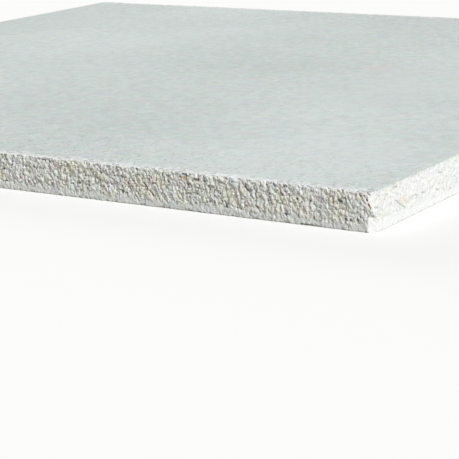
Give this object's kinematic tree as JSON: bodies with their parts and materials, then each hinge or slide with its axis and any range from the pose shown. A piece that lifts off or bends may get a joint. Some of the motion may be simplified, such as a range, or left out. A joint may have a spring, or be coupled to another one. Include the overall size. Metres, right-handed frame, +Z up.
{
  "type": "drywall sheet",
  "caption": "Flat square mineral wallboard with a smooth face and sawn, porous edges.",
  "frame": {"origin": "centre of the underside", "axes": "+Z up through the thickness to the smooth face, -Y the front sawn edge, +X the right sawn edge"},
  "size_m": [0.5999, 0.6, 0.02],
  "materials": {
    "mineral_board": "matte"
  },
  "bodies": {
    "root": {"board": "mineral_board"}
  },
  "joints": []
}
